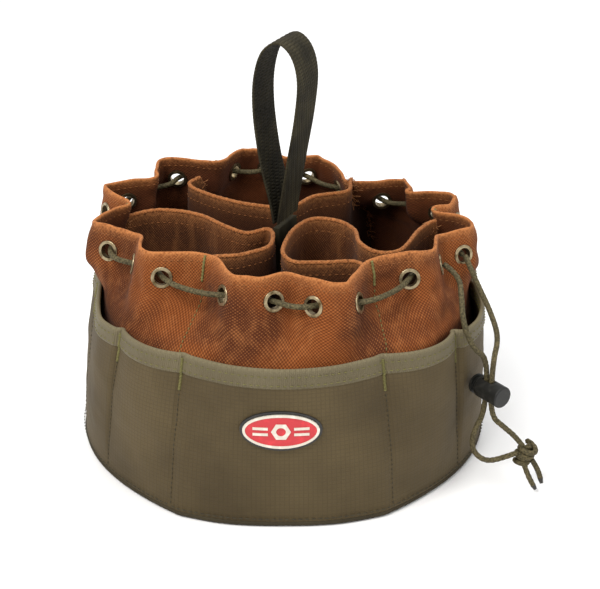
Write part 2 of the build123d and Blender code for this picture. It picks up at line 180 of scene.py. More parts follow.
def ring(line):
    """The points of a closed line, with the first again at the end."""
    return np.vstack([line, line[:1]])


def grid_normals(grid, closed):
    """Normals of a grid of rows by columns, facing out where columns run anticlockwise."""
    if closed:
        across = np.roll(grid, -1, 1) - np.roll(grid, 1, 1)
    else:
        across = np.gradient(grid, axis=1)
    return unit(np.cross(across, np.gradient(grid, axis=0)))


def crumple(grid, scale, seed):
    """Noise from -1 to 1 at each point of a grid, the same every run."""
    flat = grid.reshape(-1, 3) / scale + seed
    return np.array([noise.noise(Vector(p)) for p in flat]).reshape(grid.shape[:-1])


# ------------------------------------------------------------------------------ meshes
def new_object(name, data, body, slot, *materials):
    piece = bpy.data.objects.new(name, data)
    bpy.context.scene.collection.objects.link(piece)
    for material in materials:
        data.materials.append(material)
    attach(piece, body)
    return piece


def cloth_mesh(name, verts, faces, uvs=None, **values):
    """Smooth mesh from millimetre points, with cloth coordinates and values at its points."""
    mesh = bpy.data.meshes.new(name)
    mesh.from_pydata((np.asarray(verts).reshape(-1, 3) * MM).tolist(), [], faces)
    if uvs is not None:
        layer = mesh.uv_layers.new(name="cloth")
        layer.data.foreach_set("uv", np.asarray(uvs, np.float32).ravel() * MM)
    for label, value in values.items():
        attribute = mesh.attributes.new(label, "FLOAT", "POINT")
        attribute.data.foreach_set("value", np.asarray(value, np.float32))
    mesh.polygons.foreach_set("use_smooth", [True] * len(mesh.polygons))
    mesh.update()
    return mesh


def sheet_mesh(name, grid, thickness, closed, wear=3.0):
    """Closed mesh of a cloth whose middle layer is a grid: rows go up, columns along.

    Its top and bottom edges are rounded. The edge attribute fades from 1 at the top edge, and
    the inside attribute is 1 on the back face, which the canvas darkens as painted shade.
    """
    rows, cols = grid.shape[:2]
    normal = grid_normals(grid, closed)
    half = thickness / 2
    up_top, up_foot = unit(grid[-1] - grid[-2]), unit(grid[0] - grid[1])
    layers, heights, worn, inner = [], [], [], []
    lengths = np.concatenate([[0], np.cumsum(np.linalg.norm(np.diff(grid, axis=0), axis=2).mean(1))])

    def add(points, height, inside=0.0):
        inner.append(inside)
        layers.append(points)
        heights.append(height)
        worn.append(np.exp(-max(lengths[-1] - height, 0) / wear))

    for r in range(rows):
        add(grid[r] + normal[r] * half, lengths[r])
    for turn in (45, 0, -45):
        a = radians(turn)
        add(grid[-1] + up_top * half * cos(a) + normal[-1] * half * sin(a), lengths[-1])
    for r in reversed(range(rows)):
        add(grid[r] - normal[r] * half, lengths[r], 1.0)
    for turn in (-45, 0, 45):
        a = radians(turn)
        add(grid[0] + up_foot * half * cos(a) + normal[0] * half * sin(a), 0)

    count = len(layers)
    along = np.linalg.norm(np.roll(grid, -1, 1) - grid, axis=2).mean(0)
    u = np.concatenate([[0], np.cumsum(along)])
    faces, uvs = [], []
    spans = cols if closed else cols - 1
    for r in range(count):
        s = (r + 1) % count
        for c in range(spans):
            d = (c + 1) % cols
            faces.append((r * cols + c, r * cols + d, s * cols + d, s * cols + c))
            uvs += [(u[c], heights[r]), (u[c + 1], heights[r]),
                    (u[c + 1], heights[s]), (u[c], heights[s])]
    if not closed:
        for c, order in ((0, 1), (cols - 1, -1)):
            column = [r * cols + c for r in range(count)]
            for r in range(rows - 1):
                quad = (column[r], column[r + 1],
                        column[2 * rows + 1 - r], column[2 * rows + 2 - r])[::order]
                faces.append(quad)
                uvs += [(u[c], lengths[r])] * 4
            for cap in (column[rows - 1:rows + 4], [*column[-3:], column[0], column[-4]]):
                faces.append(tuple(cap[::order]))
                uvs += [(u[c], 0)] * len(cap)
    return cloth_mesh(name, layers, faces, uvs, edge=np.repeat(worn, cols),
                      inside=np.repeat(inner, cols))


def transported_frames(line):
    """Two directions across a line at each point, turning as little as they can."""
    ahead = unit(np.gradient(line, axis=0))
    side = np.cross(ahead[0], (0.0, 0.0, 1.0))
    if np.linalg.norm(side) < 0.1:
        side = np.cross(ahead[0], (1.0, 0.0, 0.0))
    sides = []
    for direction in ahead:
        side = side - direction * side.dot(direction)
        side = side / np.linalg.norm(side)
        sides.append(side)
    sides = np.array(sides)
    return sides, np.cross(ahead, sides)


def tube_mesh(name, line, radius, around=10, relief=None, worn=0.0):
    """Capped tube along a line. relief(turn, along) adds to its radius; worn is its edge value."""
    line = np.asarray(line, float)
    one, two = transported_frames(line)
    along = distances(line)
    turn = np.linspace(0, 2 * pi, around, endpoint=False)
    size = np.full((len(line), around), float(radius)) if np.isscalar(radius) else (
        np.repeat(np.asarray(radius, float)[:, None], around, axis=1))
    if relief is not None:
        size = size + relief(turn[None, :], along[:, None])
    verts = (line[:, None] + size[..., None] * (np.cos(turn)[None, :, None] * one[:, None]
                                               + np.sin(turn)[None, :, None] * two[:, None]))
    verts = verts.reshape(-1, 3)
    faces, uvs = [], []
    for r in range(len(line) - 1):
        for c in range(around):
            d = (c + 1) % around
            faces.append((r * around + c, r * around + d, (r + 1) * around + d,
                          (r + 1) * around + c))
            uvs += [(c, along[r]), (c + 1, along[r]), (c + 1, along[r + 1]), (c, along[r + 1])]
    last = (len(line) - 1) * around
    faces.append(tuple(reversed(range(around))))
    faces.append(tuple(range(last, last + around)))
    uvs += [(0, 0)] * (2 * around)
    return cloth_mesh(name, verts, faces, uvs, edge=np.full(len(verts), worn))


def ripple(depth, rate):
    """Relief of a tube that swells and shrinks a little along its length."""
    return lambda turn, along: depth * np.sin(along * rate)


def joined(name, meshes):
    """One mesh from several, which are removed."""
    bm = bmesh.new()
    for mesh in meshes:
        bm.from_mesh(mesh)
        bpy.data.meshes.remove(mesh)
    whole = bpy.data.meshes.new(name)
    bm.to_mesh(whole)
    bm.free()
    return whole


def stitch_mesh(name, runs, length=2.6, gap=0.9, radius=0.42, rise=0.25):
    """Sewn stitches along runs, each a pair of a line and the cloth's normals on it."""
    rings, sides = 5, 6
    shape = np.array([0.15, 0.8, 1.0, 0.8, 0.15])
    lift = np.array([-0.55, 0.25, 0.5, 0.25, -0.55])
    turn = np.linspace(0, 2 * pi, sides, endpoint=False)
    verts, faces = [], []
    for line, normals in runs:
        line, normals = np.asarray(line, float), np.asarray(normals, float)
        along = distances(line)
        starts = np.arange(gap, along[-1] - length, length + gap)

        def at(values, s):
            return np.array([np.interp(s, along, values[:, k]) for k in range(3)])

        for start in starts:
            p, q = at(line, start), at(line, start + length)
            up = unit(at(normals, start + length / 2))
            ahead = unit(q - p)
            side = unit(np.cross(up, ahead))
            first = len(verts)
            for k in range(rings):
                centre = p + (q - p) * k / (rings - 1) + up * (rise + lift[k] * radius)
                for a in turn:
                    verts.append(centre + radius * shape[k] * (cos(a) * side + sin(a) * up))
            for k in range(rings - 1):
                for c in range(sides):
                    d = (c + 1) % sides
                    a, b = first + k * sides, first + (k + 1) * sides
                    faces.append((a + c, a + d, b + d, b + c))
            faces.append(tuple(first + c for c in reversed(range(sides))))
            faces.append(tuple(first + (rings - 1) * sides + c for c in range(sides)))
    return cloth_mesh(name, verts, faces)


def sew(name, slot, thread, runs, *sizes):
    """Stitches along runs, as a piece of the bag."""
    return new_object(name, stitch_mesh(name, runs, *sizes), "bag", slot, thread)


def nurbs_line(points):
    """Points along the smooth spline that has these control points, in millimetres."""
    curve = bpy.data.curves.new("route", "CURVE")
    curve.dimensions = "3D"
    curve.resolution_u = 16
    spline = curve.splines.new("NURBS")
    spline.points.add(len(points) - 1)
    for place, point in zip(spline.points, points):
        place.co = (*[x * MM for x in point], 1)
    spline.order_u = 3
    spline.use_endpoint_u = True
    holder = bpy.data.objects.new("route", curve)
    mesh = bpy.data.meshes.new_from_object(holder)
    line = np.array([v.co for v in mesh.vertices]) / MM
    bpy.data.meshes.remove(mesh)
    bpy.data.curves.remove(curve)
    return line


# --------------------------------------------------------------------------- materials
def linear(red, green, blue):
    """Screen colour, 0 to 255, as a shader colour."""
    return tuple((c / 255 / 12.92 if c / 255 <= 0.04045 else ((c / 255 + 0.055) / 1.055) ** 2.4)
                 for c in (red, green, blue)) + (1.0,)


class Shade:
    """A material's node tree, with short names for the nodes that the materials share."""

    def __init__(self, name, roughness=0.8, metallic=0.0, sheen=0.0, specular=0.5):
        self.material = bpy.data.materials.new(name)
        self.material.use_nodes = True
        self.tree = self.material.node_tree
        self.shader = self.tree.nodes["Principled BSDF"]
        self.shader.inputs["Roughness"].default_value = roughness
        self.shader.inputs["Metallic"].default_value = metallic
        self.shader.inputs["Sheen Weight"].default_value = sheen
        self.shader.inputs["Specular IOR Level"].default_value = specular

    def put(self, value, socket):
        if isinstance(value, (int, float, tuple)):
            socket.default_value = value
        else:
            self.tree.links.new(value, socket)

    def math(self, operation, a, b=0.0, c=0.0, clamp=False):
        node = self.tree.nodes.new("ShaderNodeMath")
        node.operation = operation
        node.use_clamp = clamp
        for value, socket in zip((a, b, c), node.inputs):
            self.put(value, socket)
        return node.outputs[0]

    def cloth_uv(self):
        node = self.tree.nodes.new("ShaderNodeUVMap")
        node.uv_map = "cloth"
        split = self.tree.nodes.new("ShaderNodeSeparateXYZ")
        self.tree.links.new(node.outputs[0], split.inputs[0])
        return split.outputs[0], split.outputs[1]

    def place(self):
        node = self.tree.nodes.new("ShaderNodeTexCoord")
        return node.outputs["Object"]

    def noise(self, scale, detail=3.0, stretch=None):
        """Noise from 0 to 1 with features of about 1/scale metres."""
        node = self.tree.nodes.new("ShaderNodeTexNoise")
        node.inputs["Scale"].default_value = scale
        node.inputs["Detail"].default_value = detail
        where = self.place()
        if stretch:
            mapping = self.tree.nodes.new("ShaderNodeMapping")
            mapping.inputs["Scale"].default_value = stretch
            self.tree.links.new(where, mapping.inputs[0])
            where = mapping.outputs[0]
        self.tree.links.new(where, node.inputs["Vector"])
        return node.outputs["Fac"]

    def attribute(self, name):
        node = self.tree.nodes.new("ShaderNodeAttribute")
        node.attribute_name = name
        return node.outputs["Fac"]

    def spread(self, value, low, high):
        """value stretched so that low gives 0 and high gives 1, held to that range."""
        node = self.tree.nodes.new("ShaderNodeMapRange")
        self.put(value, node.inputs["Value"])
        node.inputs["From Min"].default_value = low
        node.inputs["From Max"].default_value = high
        return node.outputs[0]

    def mix(self, share, a, b):
        node = self.tree.nodes.new("ShaderNodeMix")
        node.data_type = "RGBA"
        self.put(share, node.inputs["Factor"])
        self.put(a, node.inputs[6])
        self.put(b, node.inputs[7])
        return node.outputs[2]

    def wave(self, value, period):
        """Sine of a length in metres."""
        return self.math("SINE", self.math("MULTIPLY_ADD", value, 2 * pi / period))

    def finish(self, colour, height=None, depth=0.0003, strength=0.6, roughness=None):
        self.put(colour, self.shader.inputs["Base Color"])
        if roughness is not None:
            self.put(roughness, self.shader.inputs["Roughness"])
        if height is not None:
            bump = self.tree.nodes.new("ShaderNodeBump")
            bump.inputs["Strength"].default_value = strength
            bump.inputs["Distance"].default_value = depth
            self.put(height, bump.inputs["Height"])
            self.tree.links.new(bump.outputs[0], self.shader.inputs["Normal"])
        return self.material


def canvas_material(name, light, dark, edge, thread=0.00095):
    """Heavy waxed duck: plain weave, darker and lighter in large patches, scuffed pale along
    worn edges, with painted shade in the hollows of the weave and on the back face.
    """
    s = Shade(name, roughness=0.9, sheen=0.03, specular=0.15)
    u, v = s.cloth_uv()
    weave = s.math("MULTIPLY", s.wave(u, 2 * thread), s.wave(v, 2 * thread))
    slub = s.noise(160, 4, (1.0, 1.0, 0.25))
    # Large patches of darker and lighter tone, at random.
    patches = s.spread(s.noise(26, 6), 0.4, 0.6)
    grain = s.spread(s.noise(700, 3), 0.3, 0.7)
    colour = s.mix(patches, dark, light)
    colour = s.mix(s.math("MULTIPLY", s.spread(slub, 0.5, 0.72), 0.3), colour, edge)
    # Painted shade: the colour darkens in the hollows of the weave.
    colour = s.mix(s.math("MULTIPLY", s.spread(weave, 0.1, -0.7), 0.75), colour, dark)
    thrown = s.math("MULTIPLY", s.spread(weave, 0.1, 0.9), s.math("MULTIPLY_ADD", grain, 0.55, 0.1))
    colour = s.mix(thrown, colour, edge)
    # Painted shade: the back face, which is the inside of the bag, is pulled towards the dark tone.
    colour = s.mix(s.math("MULTIPLY", s.attribute("inside"), 0.75), colour, dark)
    scuff = s.math("MULTIPLY", s.attribute("edge"), s.math("ADD", 0.35, grain), clamp=True)
    colour = s.mix(scuff, colour, edge)
    height = s.math("ADD", s.math("MULTIPLY", weave, 0.5), s.math("MULTIPLY", grain, 0.7))
    return s.finish(colour, height, 0.0004, 0.7)


def ripstop_material():
    """Thin close-woven nylon with a grid of raised reinforcing threads."""
    s = Shade("ripstop_cloth", roughness=0.7, specular=0.25)
    u, v = s.cloth_uv()
    square = 0.0026

    def line(value):
        middle = s.math("PINGPONG", value, square / 2)
        return s.spread(middle, square * 0.12, square * 0.04)

    lines = s.math("MAXIMUM", line(u), line(v))
    weave = s.math("MULTIPLY", s.wave(u, 0.0009), s.wave(v, 0.0009))
    patches = s.spread(s.noise(18, 4), 0.35, 0.65)
    colour = s.mix(patches, (0.057, 0.039, 0.015, 1), (0.09, 0.064, 0.027, 1))
    colour = s.mix(s.math("MULTIPLY", lines, 0.25), colour, (0.034, 0.024, 0.011, 1))
    colour = s.mix(s.math("MULTIPLY", s.attribute("edge"), 0.4), colour, (0.16, 0.125, 0.07, 1))
    height = s.math("ADD", s.math("MULTIPLY", weave, 0.3), lines)
    return s.finish(colour, height, 0.00025, 0.6)


def ribbed_material(name, light, dark, rib, across=False, roughness=0.75):
    """Woven tape or webbing with fine ribs; across says which way the ribs lie."""
    s = Shade(name, roughness=roughness, specular=0.2)
    u, v = s.cloth_uv()
    first, second = (v, u) if across else (u, v)
    ribs = s.wave(first, rib)
    picks = s.wave(s.math("ADD", second, s.math("MULTIPLY", first, 0.5)), rib * 0.8)
    height = s.math("ADD", s.math("MULTIPLY", ribs, 0.6), s.math("MULTIPLY", picks, 0.4))
    worn = s.spread(s.noise(60, 4), 0.35, 0.7)
    colour = s.mix(worn, dark, light)
    # Painted shade: the colour is pulled towards the dark tone, most in the hollows between the ribs.
    colour = s.mix(s.math("MULTIPLY", s.spread(height, -1, 0.4), 0.5), dark, colour)
    colour = s.mix(s.math("MULTIPLY", s.attribute("edge"), 0.4), colour, light)
    return s.finish(colour, height, 0.0003, 0.8)


def thread_material(name, light, dark):
    """Twisted sewing thread."""
    s = Shade(name, roughness=0.7, specular=0.3)
    twist = s.noise(1800, 2)
    colour = s.mix(s.spread(twist, 0.35, 0.65), dark, light)
    return s.finish(colour, twist, 0.0002, 0.6)


def cord_material():
    """Braided nylon sleeve, flecked, dirty in random patches."""
    s = Shade("cord_braid", roughness=0.75, specular=0.25)
    fleck = s.noise(900, 3)
    dirt = s.spread(s.noise(70, 3), 0.35, 0.7)
    colour = s.mix(s.spread(fleck, 0.36, 0.64), (0.034, 0.028, 0.012, 1), (0.125, 0.1, 0.047, 1))
    colour = s.mix(s.math("MULTIPLY", dirt, 0.35), colour, (0.03, 0.024, 0.011, 1))
    return s.finish(colour, fleck, 0.0003, 0.6)


def metal_material(name, light, dark, roughness):
    """Plated metal, tarnished in patches, with fine scratches."""
    s = Shade(name, roughness=roughness, metallic=1.0)
    tarnish = s.spread(s.noise(250, 5), 0.42, 0.68)
    scratches = s.noise(1200, 2, (1.0, 1.0, 0.15))
    colour = s.mix(tarnish, light, dark)
    rough = s.math("MULTIPLY_ADD", tarnish, 0.25, roughness)
    return s.finish(colour, scratches, 0.0001, 0.35, rough)


def moulded_material(name, light, dark, roughness, specular=0.5):
    """Moulded plastic or rubber with a fine spark-eroded grain and faint scuffs."""
    s = Shade(name, roughness=roughness, specular=specular)
    grain = s.noise(2600, 2)
    scuffs = s.spread(s.noise(240, 4), 0.5, 0.75)
    colour = s.mix(scuffs, dark, light)
    rough = s.math("MULTIPLY_ADD", scuffs, 0.18, roughness)
    return s.finish(colour, grain, 0.00008, 0.5, rough)


CANVAS_OUT = canvas_material("canvas_outside", (0.195, 0.052, 0.0105, 1), (0.066, 0.017, 0.005, 1),
                             (0.42, 0.158, 0.05, 1))
# Darker copy of the canvas for the inner walls and lining: partly the cloth's own back, partly painted
# shade of the bag's inside.
CANVAS_IN_SHADED = canvas_material("canvas_inside", (0.088, 0.025, 0.006, 1), (0.034, 0.0095, 0.003, 1),
                            (0.34, 0.135, 0.045, 1))
BASE_CLOTH = canvas_material("base_cloth", (0.06, 0.044, 0.022, 1), (0.038, 0.027, 0.013, 1),
                             (0.11, 0.08, 0.045, 1))
RIPSTOP_CLOTH = ripstop_material()
TAPE = ribbed_material("binding_tape", (0.19, 0.16, 0.093, 1), (0.125, 0.102, 0.056, 1),
                       0.0011, roughness=0.5)
WEBBING = ribbed_material("carry_webbing", (0.095, 0.078, 0.038, 1), (0.016, 0.0135, 0.007, 1),
                          0.0021, True)
PIPING = ribbed_material("base_piping", (0.07, 0.054, 0.029, 1), (0.04, 0.031, 0.016, 1),
                         0.0016)
OLIVE_THREAD = thread_material("olive_thread", (0.2, 0.18, 0.06, 1), (0.11, 0.1, 0.03, 1))
RUST_THREAD = thread_material("rust_thread", (0.3, 0.11, 0.03, 1), (0.16, 0.055, 0.015, 1))
FIBRE = thread_material("canvas_fibre", (0.46, 0.2, 0.075, 1), (0.2, 0.07, 0.02, 1))
DARK_THREAD = thread_material("dark_thread", linear(70, 64, 46), linear(42, 38, 28))
CORD = cord_material()
EYELET_METAL = metal_material("eyelet_metal", linear(176, 160, 128), linear(98, 82, 54), 0.34)
SPRING_METAL = metal_material("spring_metal", linear(205, 205, 205), linear(150, 150, 150), 0.25)
LOCK_PLASTIC = moulded_material("lock_plastic", linear(46, 45, 41), linear(25, 25, 23), 0.42,
                                specular=0.3)
CORD_TIP = moulded_material("cord_tip", linear(60, 54, 40), linear(34, 30, 24), 0.35)
BADGE_BLACK = moulded_material("badge_black", linear(52, 50, 47), linear(26, 25, 24), 0.45)
BADGE_WHITE = moulded_material("badge_white", linear(232, 226, 214), linear(206, 198, 184), 0.5)
BADGE_RED = moulded_material("badge_red", (0.66, 0.035, 0.045, 1), (0.5, 0.02, 0.028, 1), 0.45)
BOARD = moulded_material("base_board", linear(96, 94, 90), linear(70, 68, 66), 0.7)

NODE_MATERIALS = {
    "base_outer_panel": BASE_CLOTH, "base_board": BOARD, "base_lining": CANVAS_IN_SHADED,
    "carry_loop_anchor": WEBBING, "eyelet_barrels": EYELET_METAL, "eyelet_washers": EYELET_METAL,
    "cord_tips": CORD_TIP, "lock_barrel": LOCK_PLASTIC, "lock_plunger": LOCK_PLASTIC,
    "lock_spring": SPRING_METAL, "badge_backing": BADGE_BLACK, "badge_border": BADGE_WHITE,
    "badge_field": BADGE_RED, "badge_emblem": BADGE_WHITE,
}
for node_name, material in NODE_MATERIALS.items():
    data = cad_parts[node_name].data
    data.materials.clear()
    data.materials.append(material)


# --------------------------------------------------------------------- skirt of pockets
def skirt_seam_radius(top, height, angle):
    """Radius of a pocket seam: it follows the bag inwards as it goes up."""
    turned = (np.asarray(angle) + 180) % 360 - 180
    corner = sum(np.exp(-((turned - a) / 13) ** 2) for a in FOOT_CORNERS)
    foot = BASE_R + 1.4 + 4.0 * corner
    return foot + (top - foot) * (np.maximum(height, 0) / SKIRT_TOP) ** 1.6


def skirt_controls(height):
    """Control points of the skirt's outline at a height: angle and radius."""
    rise = min(height / SKIRT_TOP, 1.0)
    points = []
    for k, (foot, mouth, top, opening, peak) in enumerate(SKIRT_SEAMS):
        foot_2, mouth_2, top_2 = SKIRT_SEAMS[(k + 1) % len(SKIRT_SEAMS)][:3]
        foot_2 += 360 if foot_2 < foot else 0
        mouth_2 += 360 if mouth_2 < mouth else 0
        lean = rise ** 1.3
        start, end = foot + (mouth - foot) * lean, foot_2 + (mouth_2 - foot_2) * lean
        swell = opening * rise ** 1.25 + 1.2 * (1 - rise) * rise * 4
        for x in (0.0, 0.07, 0.27, 0.5, 0.73, 0.93):
            share = sin(pi * x ** (np.log(0.5) / np.log(peak))) ** 0.8
            angle = start + (end - start) * x
            radius = skirt_seam_radius(top + (top_2 - top) * x, height, angle) + swell * share
            points.append((angle, radius))
    return points


SKIRT_PER_SPAN = 9
SKIRT_COLS = len(SKIRT_SEAMS) * 6 * SKIRT_PER_SPAN


def skirt_ring(height):
    angles, radii = np.array(skirt_controls(height)).T
    return curve_weights(len(angles), SKIRT_PER_SPAN, True) @ polar(angles, radii)


def skirt_grid(low, high, rows):
    """Middle layer of the skirt: the cloth is slack between its seams, but not behind the badge."""
    grid = []
    for height in np.linspace(low, high, rows):
        outline = skirt_ring(height)
        grid.append(np.column_stack([outline, np.full(len(outline), height)]))
    grid = np.array(grid)
    across = grid_normals(grid, True)
    amount = 0.9 * crumple(grid, 26, 3.0) + 0.35 * crumple(grid, 9, 8.0)
    free = smooth(6, 30, grid[..., 2]) * smooth(SKIRT_TOP + 4, SKIRT_TOP - 22, grid[..., 2])
    behind_badge = 1 - smooth(34, 24, np.abs(grid[..., 0])) * (grid[..., 1] < 0)
    return grid + across * (amount * free * behind_badge)[..., None]


def seam_columns():
    """Columns of the skirt's grid that lie on its seams."""
    return [k * 6 * SKIRT_PER_SPAN for k in range(len(SKIRT_SEAMS))]


skirt = skirt_grid(WALL_FOOT, SKIRT_TOP, 76)
skirt_normal = grid_normals(skirt, True)
skirt_piece = new_object("pocket_skirt_cloth", sheet_mesh("skirt", skirt, RIPSTOP, True), "bag",
                         "ripstop", RIPSTOP_CLOTH)
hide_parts("pocket_skirt_left", "pocket_skirt_front", "pocket_skirt_right",
            "pocket_skirt_back")


# The tape is folded over the mouth of the pockets, so it shows inside and outside.
def binding_tape():
    """Binding along the mouth, a strip of the skirt's own shape made thicker."""
    folded = skirt[skirt[:, 0, 2] >= SKIRT_TOP - TAPE_H].copy()
    folded[-1, :, 2] += TAPE_FOLD
    mesh = sheet_mesh("tape", folded, RIPSTOP + 2 * TAPE_T, True, 1.5)
    tape = new_object("skirt_binding_tape", mesh, "bag", "binding_tape", TAPE)
    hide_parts("pocket_binding_tape")
    return tape


tape_piece = binding_tape()


def row_run(grid, normal, height, offset):
    """Closed run round a cloth at a height, lifted off its middle layer."""
    row = int(np.argmin(np.abs(grid[:, 0, 2] - height)))
    line = grid[row] + normal[row] * offset
    return ring(line), ring(normal[row])


def column_run(grid, normal, column, low, high, offset):
    """Run up a cloth at a column, between two heights."""
    rows = [r for r in range(len(grid)) if low <= grid[r, column, 2] <= high]
    return grid[rows, column] + normal[rows, column] * offset, normal[rows, column]


tape_face = RIPSTOP / 2 + TAPE_T
tape_runs = [row_run(skirt, skirt_normal, SKIRT_TOP - 2.2, tape_face),
             row_run(skirt, skirt_normal, SKIRT_TOP - TAPE_H + 1.8, tape_face)]
tape_runs += [(line - 2 * tape_face * normal, -normal) for line, normal in tape_runs]
seam_runs = [column_run(skirt, skirt_normal, column, 4, SKIRT_TOP - TAPE_H, RIPSTOP / 2)
             for column in seam_columns()]
bar_tacks = []
for column in seam_columns():
    for height in np.arange(SKIRT_TOP - 21, SKIRT_TOP - 1, 0.9):
        row = int(np.argmin(np.abs(skirt[:, 0, 2] - height)))
        here, out = skirt[row, column], skirt_normal[row, column]
        side = unit(skirt[row, (column + 3) % SKIRT_COLS] - skirt[row, column - 3])
        face = tape_face if height > SKIRT_TOP - TAPE_H else RIPSTOP / 2
        middle = np.array([here[0], here[1], height]) + out * face
        bar_tacks.append((np.array([middle - side * 1.3, middle + side * 1.3]),
                          np.array([out, out])))
sew("tape_stitching", "binding_tape", OLIVE_THREAD, tape_runs, 2.2, 1.5, 0.3, 0.1)
sew("pocket_seam_stitching", "ripstop", DARK_THREAD, seam_runs, 2.2, 1.1, 0.32, 0.1)
sew("pocket_bar_tacks", "binding_tape", OLIVE_THREAD, bar_tacks, 2.3, 0.1, 0.42)


# -------------------------------------------------------------------------- outer wall
def eyelet_centre(i):
    angle, radius, height, _ = EYELETS[i % len(EYELETS)]
    return np.array([*polar(angle, radius), height], float)


def eyelet_level(i):
    """Which way an eyelet faces, seen from above."""
    along = eyelet_centre(i + 1) - eyelet_centre(i - 1)
    turn = radians(EYELET_TURN if i % 2 else -EYELET_TURN)
    x, y = along[1], -along[0]
    x, y = x * cos(turn) - y * sin(turn), x * sin(turn) + y * cos(turn)
    return unit(np.array([x, y]))


def eyelet_normal(i):
    lean = radians(EYELET_LEAN)
    return np.array([*(eyelet_level(i) * cos(lean)), sin(lean)])


def seam_top_radius(angle):
    """Radius of the skirt's mouth at its seams, taken evenly round the bag."""
    rows = sorted((seam[1] % 360, seam[2]) for seam in SKIRT_SEAMS)
    rows = [(rows[-1][0] - 360, rows[-1][1])] + rows + [(rows[0][0] + 360, rows[0][1])]
    return np.interp(np.asarray(angle) % 360, [a for a, _ in rows], [r for _, r in rows])


# The cloth's foot is turned a little at the front: even angles, and where they end up.
FOOT_SHIFT = ((-30, 0, 30, 90, 270, 330, 360), (-24, 0, 21, 87, 272, 336, 360))
BAR_DROP = 15.0           # heavy thread at the top of each wall seam
SEAT_HALF = 6.8           # the cloth lies flat this far each side of an eyelet


def wall_controls():
    """Rim target, foot angle and eyelet height of each control point."""
    targets, foot_angles, heights = [], [], []
    count = len(EYELETS)
    for i in range(count):
        centre, level = eyelet_centre(i), eyelet_level(i)
        along = np.array([-level[1], level[0]])
        here = 60 * (i // 4) + PANEL_STEPS[i % 4]
        after = 60 * ((i + 1) // 4) + PANEL_STEPS[(i + 1) % 4]
        following = eyelet_centre(i + 1)
        middle = (centre + following)[:2] / 2
        swell = EYELETS[i][3]
        swollen = middle + unit(middle) * swell * (1.25 if swell > 0 else 1.0)
        targets += [centre[:2] - along * SEAT_HALF, centre[:2] + along * SEAT_HALF, swollen]
        foot_angles += [here - 2.6, here + 2.6, (here + after) / 2]
        heights += [centre[2], centre[2], (centre[2] + following[2]) / 2]
    foot_angles = np.interp(foot_angles, *FOOT_SHIFT)
    return np.array(targets), foot_angles, np.array(heights)


WALL_PER_SPAN = 9


def wall_grid():
    targets, foot_angles, heights = wall_controls()
    weights = curve_weights(len(targets), WALL_PER_SPAN, True)
    eyelet_z = weights @ heights
    rim_radius = np.linalg.norm(targets, axis=1)
    rim_angle = np.degrees(np.arctan2(targets[:, 0], -targets[:, 1]))
    rim_angle = foot_angles + (rim_angle - foot_angles + 180) % 360 - 180
    mouth = seam_top_radius(rim_angle)
    steps = np.concatenate([np.linspace(0, 0.62, 30)[:-1], np.linspace(0.62, 1, 52)])
    grid = []
    for step in steps:
        height = WALL_FOOT + step * (eyelet_z + RIM_ABOVE_EYELET - WALL_FOOT)
        level = WALL_FOOT + step * (heights + RIM_ABOVE_EYELET - WALL_FOOT)
        below = skirt_seam_radius(mouth, np.minimum(level, SKIRT_TOP), foot_angles) - 2.6
        turn = smooth(70, 132, level)
        gathered = smooth(99, 124, level)
        angle = foot_angles + (rim_angle - foot_angles) * turn
        radius = below + (rim_radius - below) * gathered
        grid.append(np.column_stack([weights @ polar(angle, radius), height]))
    grid = np.array(grid)
    across = grid_normals(grid, True)
    level_normal = across * (1, 1, 0)
    over = np.clip(grid[..., 2] - eyelet_z[None, :], -10, RIM_ABOVE_EYELET)
    lean = -over * np.tan(radians(EYELET_LEAN)) * smooth(-26, -8, grid[..., 2] - eyelet_z[None, :])
    grid = grid + unit(level_normal) * lean[..., None]
    seat = np.ones(grid.shape[:2])
    for i in range(len(EYELETS)):
        away = np.linalg.norm(grid - eyelet_centre(i), axis=2)
        seat = np.minimum(seat, smooth(8.5, 15, away))
    amount = (1.5 * crumple(grid, 24, 1.0) + 0.6 * crumple(grid, 9, 5.0)
              + 1.3 * crumple(grid * (0.8, 0.8, 2.2), 19, 12.0)) * seat
    amount *= smooth(SKIRT_TOP - 8, SKIRT_TOP + 8, grid[..., 2])
    grid = grid + across * amount[..., None]
    rim = smooth(RIM_ABOVE_EYELET - 6, RIM_ABOVE_EYELET, grid[..., 2] - eyelet_z[None, :])
    grid[..., 2] += 1.6 * rim * crumple(grid * (1, 1, 0), 16, 2.0)
    return grid


def punch_eyelet_holes(mesh):
    """Round holes through both faces of the wall, with their sides closed."""
    bm = bmesh.new()
    bm.from_mesh(mesh)
    for i in range(len(EYELETS)):
        centre, normal = Vector(eyelet_centre(i) * MM), Vector(eyelet_normal(i))
        hole = EYELET_HOLE * MM
        inside = []
        for face in bm.faces:
            offset = face.calc_center_median() - centre
            depth = offset.dot(normal)
            if abs(depth) < 3 * CANVAS * MM and (offset - normal * depth).length < hole:
                inside.append(face)
        bmesh.ops.delete(bm, geom=inside, context="FACES")
        rims = [e for e in bm.edges if e.is_boundary
                and (e.verts[0].co - centre).length < 2.2 * hole]
        for vertex in {v for e in rims for v in e.verts}:
            offset = vertex.co - centre
            depth = offset.dot(normal)
            flat = offset - normal * depth
            vertex.co = centre + normal * depth + flat.normalized() * hole
        bmesh.ops.bridge_loops(bm, edges=rims)
    loose = [v for v in bm.verts if not v.link_faces]
    bmesh.ops.delete(bm, geom=loose, context="VERTS")
    bm.to_mesh(mesh)
    bm.free()
    return mesh


wall = wall_grid()
wall_normal = grid_normals(wall, True)
wall_mesh = punch_eyelet_holes(sheet_mesh("wall", wall, CANVAS, True, 2.5))
wall_piece = new_object("bag_wall", wall_mesh, "bag", "canvas", CANVAS_OUT)
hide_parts(*[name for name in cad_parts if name.startswith("outer_wall_")])


